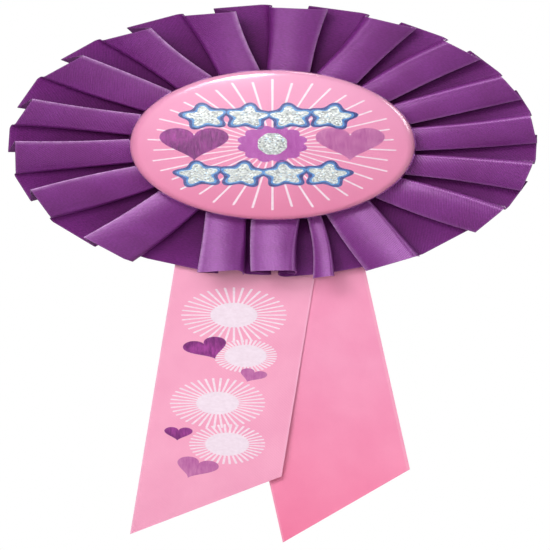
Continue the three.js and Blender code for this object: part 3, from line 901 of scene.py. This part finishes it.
def all_round(count):
    return np.linspace(0, 2 * math.pi, count, endpoint=False)


def heart(place, width, turn=0, count=72):
    """A filled heart with its tip down, from the usual heart curve, which is 32 wide."""
    t = all_round(count)
    x = 16 * np.sin(t) ** 3
    z = 13 * np.cos(t) - 5 * np.cos(2 * t) - 2 * np.cos(3 * t) - np.cos(4 * t)
    return filled(turned(np.stack([x, z + 2], 1) / 32, turn, place, width))


def star_outline(grow, count=120):
    """A five-pointed star of unit radius with rounded points and notches, moved out by grow."""
    angles = all_round(count)
    share = 0.5 + 0.5 * np.cos(5 * angles)
    return round_points(mix(STAR["notch"], 1.0, share ** STAR["sharpness"]) + grow, angles)


def scalloped_outline(lobes, swing, count=144):
    """A unit circle with round lobes that swing in and out of it."""
    angles = all_round(count)
    return round_points(1 - swing + swing * np.abs(np.sin(angles * lobes / 2)) * 2, angles)


def ray(angle, inner, outer, inner_width, outer_width, steps=8):
    """A printed ray with a rounded outer end."""
    along = np.linspace(inner, outer, steps)
    width = np.linspace(inner_width, outer_width, steps) / 2
    tip = outer_width / 2
    left = [(-w, a) for w, a in zip(width, along)] + [(-0.6 * tip, outer + 0.7 * tip)]
    right = [(-x, a) for x, a in left]
    flat = np.array(left + right, float)
    count = len(left)
    faces = [(k, k + count, k + count + 1, k + 1) for k in range(count - 1)]
    return turned(flat, angle, (0, 0), 1.0), faces


def gather(shapes):
    """Joins shapes, each given as its points and faces, into one."""
    points, faces, start = [], [], 0
    for shape_points, shape_faces in shapes:
        points.append(shape_points)
        faces += [tuple(corner + start for corner in face) for face in shape_faces]
        start += len(shape_points)
    return np.vstack(points), faces


# Bursts on the left tail: how much their cores ripple, where their rays start as a share of the
# core, their rays' inner and outer widths, and how many degrees each is turned past the last
BURST = {"ripple": 0.03, "rays_from": 0.99, "widths": (0.32, 0.38), "turn": 2.0}
# Middle, core radius, outer radius, rays. All from the rosette's middle.
BURSTS = [
    ((-6.0, -50.8), 3.7, 8.1, 36), ((-4.2, -62.9), 3.3, 4.8, 40),
    ((-8.55, -76.9), 3.3, 7.3, 38), ((-7.05, -89.1), 3.4, 5.8, 36),
]
# Hearts: middle, width and turn clockwise
DARK_HEARTS = [((-10.1, -60.8), 7.0, -22), ((-14.7, -86.0), 4.4, 4)]
LIGHT_HEARTS = [((-3.2, -68.8), 4.3, 24), ((-12.05, -96.2), 6.7, 22)]


def burst(place, core, outer, rays, phase):
    """A round core and the rays about it."""
    angles = all_round(96)
    edge = core * (1 + BURST["ripple"] * np.cos(rays * angles))
    disc_points, disc_faces = filled(round_points(edge, angles), rings=6)
    shapes = []
    for k in range(rays):
        angle = phase + 360 * k / rays
        points, faces = ray(angle, core * BURST["rays_from"], outer, *BURST["widths"])
        shapes.append((points + place, faces))
    return (disc_points + place, disc_faces), shapes


def print_on_tail(name, shapes, material, layer=0):
    """Shapes printed on the left tail, given from the rosette's middle."""
    flat, faces = gather(shapes)
    lift = PRINT_LIFT + layer * TAIL_PRINT["layer"]
    face_y = tail_y(LEFT_TAIL, flat[:, 0], flat[:, 1]) - TAIL_THICK / 2 - lift
    points = np.stack([flat[:, 0], face_y, flat[:, 1] + ROSETTE_Z], 1)
    piece = make_piece(name, points, faces, material, None, TAIL_PRINT["thick"], 1.0)
    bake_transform(piece)


def make_tail_print(materials):
    cores, rays = [], []
    for k, (place, core, outer, count) in enumerate(BURSTS):
        disc, ray_shapes = burst(place, core, outer, count, BURST["turn"] * k)
        cores.append(disc)
        rays += ray_shapes
    dark = [heart(*row) for row in DARK_HEARTS]
    light = [heart(*row) for row in LIGHT_HEARTS]
    print_on_tail("tail_burst_rays", rays, materials["ray"])
    print_on_tail("tail_burst_cores", cores, materials["core"], 1)
    print_on_tail("tail_hearts_dark", dark, materials["dark_foil"], 2)
    print_on_tail("tail_hearts_light", light, materials["light_foil"], 2)


# ---- button


def dome_radius():
    """The radius of the dome that runs smoothly into the rim on every side."""
    rim_centre = BUTTON["radius"] - BUTTON["rim_radius"]
    rise = BUTTON["height"] - BUTTON["rim_radius"]
    top = rim_centre**2 + rise**2 - BUTTON["rim_radius"] ** 2
    return top / (2 * (rise - BUTTON["rim_radius"]))


def dome_y(radius, inset):
    """How far back a dished layer's face is at a distance from the button's middle."""
    curve = dome_radius() - inset
    return BUTTON_BACK - BUTTON["height"] + inset + curve - np.sqrt(curve**2 - radius**2)


def button_profile(inset, flange, dome_steps=26, rim_steps=22):
    """A dished layer's face, as radius and y: from its middle, round its rim, to its flange."""
    rim_centre = BUTTON["radius"] - BUTTON["rim_radius"]
    centre_y = BUTTON_BACK - BUTTON["rim_radius"]
    meet = math.asin(rim_centre / (dome_radius() - BUTTON["rim_radius"]))
    rim = BUTTON["rim_radius"] - inset
    angles = np.linspace(0, meet, dome_steps + 1)[1:-1]
    curve = dome_radius() - inset
    dome = [(curve * math.sin(a), dome_y(curve * math.sin(a), inset)) for a in angles]
    turns = np.linspace(meet, math.pi, rim_steps)
    edge = [(rim_centre + rim * math.sin(a), centre_y - rim * math.cos(a)) for a in turns]
    return dome + edge + [(flange, edge[-1][1])]


def middle_fan(first, tip, flip):
    """Triangles from a tip to the ring of points that starts at first."""
    faces = []
    for k in range(ROUND_POINTS):
        a = first + k
        b = first + (k + 1) % ROUND_POINTS
        faces.append((tip, a, b) if flip else (tip, b, a))
    return faces


def make_button_layer(name, layer, material):
    """A dished layer of the button: its front and its back, joined at the flange behind."""
    face, back_face = layer["inset"], layer["inset"] + layer["thick"]
    front = button_profile(face, layer["flange"])
    back = button_profile(back_face, layer["flange"])
    profile = np.array(front + back[::-1])
    angles = all_round(ROUND_POINTS)
    points = [
        (r * math.sin(a), y, r * math.cos(a) + BUTTON_Z) for r, y in profile for a in angles
    ]
    tip = len(points)
    points += [(0, dome_y(0.0, face), BUTTON_Z), (0, dome_y(0.0, back_face), BUTTON_Z)]
    faces = grid_faces(len(profile), ROUND_POINTS, closed=True)
    faces += middle_fan(0, tip, flip=False)
    faces += middle_fan(tip - ROUND_POINTS, tip + 1, flip=True)
    piece = make_piece(name, points, faces, material)
    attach(piece, "rosette")
    return piece


def print_on_button(name, shapes, material, layer=0):
    """Shapes printed on the button's paper, given from the button's middle."""
    flat, faces = gather(shapes)
    radius = np.hypot(flat[:, 0], flat[:, 1])
    face_y = dome_y(radius, PAPER["inset"]) - PRINT_LIFT - layer * BUTTON_PRINT["layer"]
    points = np.stack([flat[:, 0], face_y, flat[:, 1] + BUTTON_Z], 1)
    piece = make_piece(name, points, faces, material, None, BUTTON_PRINT["thick"], 1.0)
    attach(piece, "rosette")


# The button's print, from the button's middle. The rays' outer ends swing by so many millimetres,
# at a pace of so many radians from each ray to the next.
RAYS = {"count": 38, "inner": 4.6, "outer": 18.9, "swing": 0.5, "pace": 2.6, "widths": (0.26, 0.4)}
STAR = {"radius": 3.15, "outline": 0.14, "shadow": 0.34, "notch": 0.6, "sharpness": 1.25}
STAR_TURNS = (-9, 7, -6, 10)
STAR_ROWS = {8.4: (-10.5, -3.85, 2.75, 9.2), -8.7: (-11.4, -4.7, 1.9, 8.5)}  # x by height
BUTTON_HEARTS = {
    "button_heart_left": ((-12.2, 0.3), 10.8, "dark_foil"),
    "button_heart_right": ((12.1, 0.3), 10.8, "light_foil"),
}
SEAL = {"middle": (0, 0.3), "size": 5.2, "lobes": 12, "swing": 0.07}
SEAL_EYE = {"middle": (0, 0.3), "size": np.array((2.3, 3.2)), "lobes": 8, "swing": 0.03}


def star_shapes(grow=0.0):
    """Every star on the button, with its outline moved out by grow times its radius."""
    shapes = []
    for z, row in STAR_ROWS.items():
        for x, turn in zip(row, STAR_TURNS):
            shapes.append(filled(turned(star_outline(grow), turn, (x, z), STAR["radius"])))
    return shapes


def seal_shape(seal):
    outline = scalloped_outline(seal["lobes"], seal["swing"])
    return filled(turned(outline, 0, seal["middle"], seal["size"]))


def make_button_print(materials):
    rays = []
    for k in range(RAYS["count"]):
        outer = RAYS["outer"] + RAYS["swing"] * math.cos(RAYS["pace"] * k)
        rays.append(ray(360 * k / RAYS["count"], RAYS["inner"], outer, *RAYS["widths"], steps=14))
    print_on_button("button_rays", rays, materials["ray"])
    print_on_button("button_star_shadows", star_shapes(STAR["shadow"]), materials["navy"], 1)
    print_on_button("button_star_outlines", star_shapes(STAR["outline"]), materials["outline"], 2)
    print_on_button("button_stars", star_shapes(), materials["glitter"], 3)
    for name, (place, width, finish) in BUTTON_HEARTS.items():
        print_on_button(name, [heart(place, width)], materials[finish], 1)
    print_on_button("button_seal", [seal_shape(SEAL)], materials["mid_foil"], 1)
    print_on_button("button_seal_eye", [seal_shape(SEAL_EYE)], materials["glitter"], 2)


def make_button(materials):
    paper = make_button_layer("print_disc", PAPER, materials["paper"])
    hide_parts("button_print_disc")
    film = make_button_layer("cover_film", FILM, materials["film"])
    # Cycles lets no lamp's light through clear film, so rays to lamps and bounced rays miss it
    for rays in ("shadow", "diffuse", "glossy"):
        setattr(film, f"visible_{rays}", False)
    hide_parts("button_cover_film")
    make_button_print(materials)


# ---- CAD nodes that stay


def finish_node(node, material, rounding_width):
    """Gives a CAD node its material, round edges and smooth shading."""
    node.data.materials.clear()
    node.data.materials.append(material)
    weld = node.modifiers.new("weld", "WELD")
    weld.merge_threshold = WELD_REACH * MM
    rounding = node.modifiers.new("round_edges", "BEVEL")
    rounding.limit_method = "ANGLE"
    rounding.angle_limit = ROUNDED_FROM * DEGREE
    rounding.width = rounding_width * MM
    rounding.segments = 2
    rounding.harden_normals = True
    node.data.polygons.foreach_set("use_smooth", [True] * len(node.data.polygons))


def finish_nodes(finishes):
    """Finishes the CAD nodes whose slots have a finish. Blender pieces replace the others."""
    slots = {part["node"]: part["material_slot"] for part in frame["record"]["subparts"]}
    for name, node in frame["nodes"].items():
        slot = slots[name]
        if slot in finishes:
            width = NICKEL_ROUNDING if slot == "nickel_plate" else ROUNDING
            finish_node(node, finishes[slot], width)


# ---- the whole rosette


def satin_materials():
    purple_weave = {
        "period": 0.4, "contrast": 0.14, "specks": 1.3, "bump": 0.05, "width": RIBBON_WIDTH,
    }
    pink_weave = {
        "period": 0.4, "contrast": 0.02, "specks": 0.05, "bump": 0.01, "width": LEFT_TAIL["width"],
    }
    deep_weave = pink_weave | {
        "length": 120.0, "deepens": [(0.55, (1.0, 1.0, 1.0)), (1.0, (1.0, 0.66, 0.74))],
    }
    purple_shine = {
        "Specular_IOR_Level": 1.0, "Specular_Tint": (0.92, 0.5, 1.0, 1),
        "Sheen_Weight": 0.05, "Sheen_Roughness": 0.4,
    }
    recess_shine = purple_shine | {"Specular_IOR_Level": 0.25, "Sheen_Weight": 0.02}
    pink_shine = {"Specular_IOR_Level": 0.4, "Sheen_Weight": 0.08, "Sheen_Roughness": 0.4}
    purple = (
        (0.13, 0.012, 0.138), (0.158, 0.018, 0.18), purple_weave,
        (0.2, 0.05, 0.22), (0.52, 0.3, 0.56),
    )
    pink = (0.80, 0.31, 0.47), (0.84, 0.35, 0.51), pink_weave, (0.82, 0.4, 0.56), (0.8, 0.5, 0.6)
    deep = (0.80, 0.26, 0.43), (0.83, 0.30, 0.47), deep_weave, (0.82, 0.36, 0.5), (0.8, 0.45, 0.58)
    return {
        "purple": satin("purple_satin", *purple, **purple_shine),
        "purple_recess": satin("purple_satin_recess", *purple, **recess_shine),
        "pink": satin("pink_satin", *pink, **pink_shine),
        "deep_pink": satin("deep_pink_satin", *deep, **pink_shine),
    }


def print_materials():
    return {
        "paper": paper_material(),
        "film": film_material(),
        "ray": ink_material("white_print", (0.78, 0.58, 0.68), (0.86, 0.7, 0.78), 0.5),
        "core": ink_material("pearl_print", (0.75, 0.61, 0.7), (0.81, 0.68, 0.77), 0.5),
        "outline": ink_material("blue_outline", (0.04, 0.14, 0.43), (0.13, 0.36, 0.68), 0.3),
        "navy": ink_material("navy_outline", (0.03, 0.03, 0.16), (0.06, 0.1, 0.34), 0.3),
        "glitter": glitter_material(),
        "dark_foil": foil_material("foil_dark", (0.1, 0.005, 0.1), (0.38, 0.04, 0.31)),
        "mid_foil": foil_material("foil_mid", (0.34, 0.045, 0.3), (0.46, 0.1, 0.42)),
        "light_foil": foil_material("foil_light", (0.42, 0.09, 0.31), (0.58, 0.2, 0.42)),
    }


def backing_materials():
    """The CAD nodes' finishes, by their slots."""
    tin = (0.5, 0.5, 0.51), (0.64, 0.65, 0.66), 0.35, (3000, 3000, 200)
    wire = (0.45, 0.45, 0.46), (0.62, 0.62, 0.64), 0.32, (600, 4000, 4000)
    nickel = (0.62, 0.6, 0.56), (0.78, 0.76, 0.72), 0.2, (500, 4500, 4500)
    return {
        "tinplate": metal_material("tinplate", *tin),
        "staple_wire": metal_material("staple_wire", *wire),
        "nickel_plate": metal_material("nickel_plate", *nickel),
        "white_card": card_material("white_card", (0.76, 0.74, 0.69), (0.86, 0.84, 0.8), 900.0),
        "grey_card": card_material("grey_card", (0.3, 0.28, 0.25), (0.5, 0.47, 0.42), 1200.0),
        "foam_tape": foam_material(),
    }


def main():
    bpy.context.scene.view_settings.view_transform = "Standard"
    make_camera()
    make_studio()
    materials = satin_materials() | print_materials()
    make_ruffle(materials["purple"], materials["purple_recess"])
    make_tail("tail_left", LEFT_TAIL, materials["pink"])
    make_tail("tail_right", RIGHT_TAIL, materials["deep_pink"])
    make_tail_print(materials)
    make_button(materials)
    finish_nodes(backing_materials())


main()
